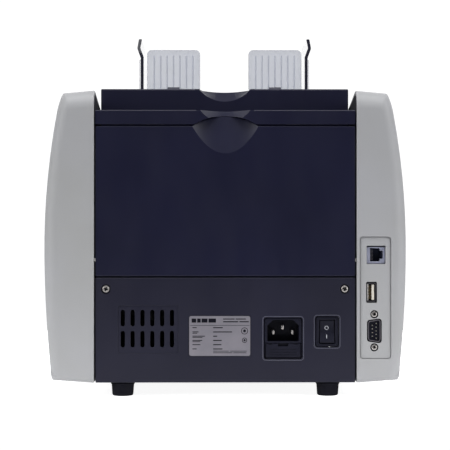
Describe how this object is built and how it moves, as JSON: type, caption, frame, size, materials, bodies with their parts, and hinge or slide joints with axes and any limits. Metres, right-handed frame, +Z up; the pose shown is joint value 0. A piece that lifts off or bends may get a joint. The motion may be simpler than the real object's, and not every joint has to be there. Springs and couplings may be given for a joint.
{
  "type": "banknote counting machine",
  "caption": "Desktop banknote counter with a top hopper and adjustable side guides, a front stacker pocket, light side covers, a dark rear door and rear power and data connectors.",
  "frame": {"origin": "on the table under the middle of the machine, at the centre of its bounding box's bottom", "axes": "+Z up; +Y towards the rear with the power inlet and the rear door; -Y towards the operator; +X to the operator's right"},
  "size_m": [0.274, 0.262, 0.28],
  "materials": {
    "grey_plastic": "fine-textured moulded plastic, light grey",
    "navy_plastic": "fine-textured moulded plastic, dark navy",
    "slate_plastic": "fine-textured moulded plastic, dark slate",
    "black_plastic": "moulded plastic, near black",
    "painted_steel": "dark satin paint on sheet steel",
    "steel": "nickel-plated or turned steel",
    "feed_rubber": "brown friction rubber, fine ground",
    "black_rubber": "matt black rubber",
    "clear_plastic": "clear plastic with a lavender tint",
    "gear_plastic": "natural acetal",
    "circuit_board": "green solder mask",
    "display_glass": "dark display window",
    "lavender_plastic": "pale lavender connector body",
    "label_foil": "silver-grey printed foil"
  },
  "bodies": {
    "chassis": {"left_side_cover": "grey_plastic", "right_side_cover": "grey_plastic", "rear_top_strip": "navy_plastic", "front_panel": "navy_plastic", "rear_lower_panel": "slate_plastic", "stacker_pocket": "slate_plastic", "upper_image_sensor": "black_plastic", "lower_image_sensor": "black_plastic", "power_inlet": "black_plastic", "switch_bezel": "black_plastic", "left_side_frame": "painted_steel", "right_side_frame": "painted_steel", "base_tray": "painted_steel", "drive_motor": "painted_steel", "left_panel_screw": "steel", "right_panel_screw": "steel", "door_hinge_pin": "steel", "unit_hinge_pin": "steel", "usb_port": "steel", "serial_port": "steel", "serial_upper_screw": "steel", "serial_lower_screw": "steel", "drive_belt": "black_rubber", "front_left_foot": "black_rubber", "front_right_foot": "black_rubber", "rear_left_foot": "black_rubber", "rear_right_foot": "black_rubber", "main_board": "circuit_board", "power_supply": "circuit_board", "display_module": "circuit_board", "display_window": "display_glass", "network_port": "lavender_plastic", "rating_label": "label_foil"},
    "rear_door": {"rear_door": "navy_plastic"},
    "door_pinch": {"door_pinch_shaft": "steel"},
    "upper_unit": {"upper_unit": "black_plastic", "left_hopper_plate": "clear_plastic", "right_hopper_plate": "clear_plastic", "separator_roller": "feed_rubber"},
    "right_guide": {"right_side_guide": "clear_plastic"},
    "left_guide": {"left_side_guide": "clear_plastic"},
    "guide_pinion": {"guide_pinion": "gear_plastic"},
    "feed": {"feed_shaft": "steel", "left_feed_roller": "feed_rubber", "right_feed_roller": "feed_rubber"},
    "pickup": {"pickup_roller_shaft": "feed_rubber"},
    "drum": {"drum_shaft": "black_plastic"},
    "lower_transport": {"lower_transport_shaft": "black_plastic"},
    "stacker": {"stacker_shaft": "steel", "left_stacker_wheel": "black_plastic", "right_stacker_wheel": "black_plastic"},
    "motor_rotor": {"motor_shaft": "steel"},
    "rocker": {"switch_rocker": "black_plastic"},
    "fuse_drawer": {"fuse_drawer": "black_plastic"},
    "key_menu": {"key_menu": "grey_plastic"},
    "key_mode": {"key_mode": "grey_plastic"},
    "key_report": {"key_report": "grey_plastic"},
    "key_up": {"key_up": "grey_plastic"},
    "key_down": {"key_down": "grey_plastic"},
    "key_start": {"key_start": "grey_plastic"}
  },
  "joints": [
    {"name": "rear_door_hinge", "type": "hinge", "parent": "chassis", "child": "rear_door", "pos_m": [0, 0.1256, 0.1026], "axis": [-1, 0, 0], "range_deg": [0, 90]},
    {"name": "upper_unit_hinge", "type": "hinge", "parent": "chassis", "child": "upper_unit", "pos_m": [0, -0.05, 0.192], "axis": [1, 0, 0], "range_deg": [0, 40]},
    {"name": "right_guide_slide", "type": "slide", "parent": "upper_unit", "child": "right_guide", "axis": [1, 0, 0], "range_m": [-0.016, 0.022]},
    {"name": "left_guide_slide", "type": "slide", "parent": "upper_unit", "child": "left_guide", "axis": [-1, 0, 0], "range_m": [-0.016, 0.022]},
    {"name": "guide_pinion_turn", "type": "hinge", "parent": "upper_unit", "child": "guide_pinion", "pos_m": [0, 0.049, 0.223], "axis": [0, 1, 0], "range_deg": [-185, 255]},
    {"name": "drum_spin", "type": "hinge", "parent": "chassis", "child": "drum", "pos_m": [0, 0.092, 0.158], "axis": [-1, 0, 0], "continuous": true},
    {"name": "motor_spin", "type": "hinge", "parent": "chassis", "child": "motor_rotor", "pos_m": [0, 0.06, 0.045], "axis": [-1, 0, 0], "continuous": true},
    {"name": "lower_transport_spin", "type": "hinge", "parent": "chassis", "child": "lower_transport", "pos_m": [0, 0.092, 0.124], "axis": [-1, 0, 0], "continuous": true},
    {"name": "feed_spin", "type": "hinge", "parent": "chassis", "child": "feed", "pos_m": [0, 0.052, 0.174], "axis": [-1, 0, 0], "continuous": true},
    {"name": "pickup_spin", "type": "hinge", "parent": "chassis", "child": "pickup", "pos_m": [0, 0.004, 0.1895], "axis": [-1, 0, 0], "continuous": true},
    {"name": "stacker_spin", "type": "hinge", "parent": "chassis", "child": "stacker", "pos_m": [0, -0.016, 0.074], "axis": [-1, 0, 0], "continuous": true},
    {"name": "door_pinch_spin", "type": "hinge", "parent": "rear_door", "child": "door_pinch", "pos_m": [0, 0.1146, 0.158], "axis": [-1, 0, 0], "continuous": true},
    {"name": "power_rocker", "type": "hinge", "parent": "chassis", "child": "rocker", "pos_m": [-0.0766, 0.1278, 0.0486], "axis": [-1, 0, 0], "range_deg": [0, 16]},
    {"name": "fuse_drawer_slide", "type": "slide", "parent": "chassis", "child": "fuse_drawer", "axis": [0, 1, 0], "range_m": [0, 0.014]},
    {"name": "key_menu_press", "type": "slide", "parent": "chassis", "child": "key_menu", "axis": [0, 0.8867, -0.4623], "range_m": [0, 0.0012], "stiffness_N_per_m": 400},
    {"name": "key_mode_press", "type": "slide", "parent": "chassis", "child": "key_mode", "axis": [0, 0.8867, -0.4623], "range_m": [0, 0.0012], "stiffness_N_per_m": 400},
    {"name": "key_report_press", "type": "slide", "parent": "chassis", "child": "key_report", "axis": [0, 0.8867, -0.4623], "range_m": [0, 0.0012], "stiffness_N_per_m": 400},
    {"name": "key_up_press", "type": "slide", "parent": "chassis", "child": "key_up", "axis": [0, 0.8867, -0.4623], "range_m": [0, 0.0012], "stiffness_N_per_m": 400},
    {"name": "key_down_press", "type": "slide", "parent": "chassis", "child": "key_down", "axis": [0, 0.8867, -0.4623], "range_m": [0, 0.0012], "stiffness_N_per_m": 400},
    {"name": "key_start_press", "type": "slide", "parent": "chassis", "child": "key_start", "axis": [0, 0.8867, -0.4623], "range_m": [0, 0.0012], "stiffness_N_per_m": 400}
  ],
  "couplings": [
    {"joint": "left_guide_slide", "follows": "right_guide_slide", "ratio": 1},
    {"joint": "guide_pinion_turn", "follows": "right_guide_slide", "rad_per_m": 200},
    {"joint": "motor_spin", "follows": "drum_spin", "ratio": 1.1031},
    {"joint": "lower_transport_spin", "follows": "drum_spin", "ratio": 1},
    {"joint": "feed_spin", "follows": "drum_spin", "ratio": 0.8425},
    {"joint": "pickup_spin", "follows": "drum_spin", "ratio": 1},
    {"joint": "stacker_spin", "follows": "drum_spin", "ratio": -0.15},
    {"joint": "door_pinch_spin", "follows": "drum_spin", "ratio": -2.6667}
  ]
}
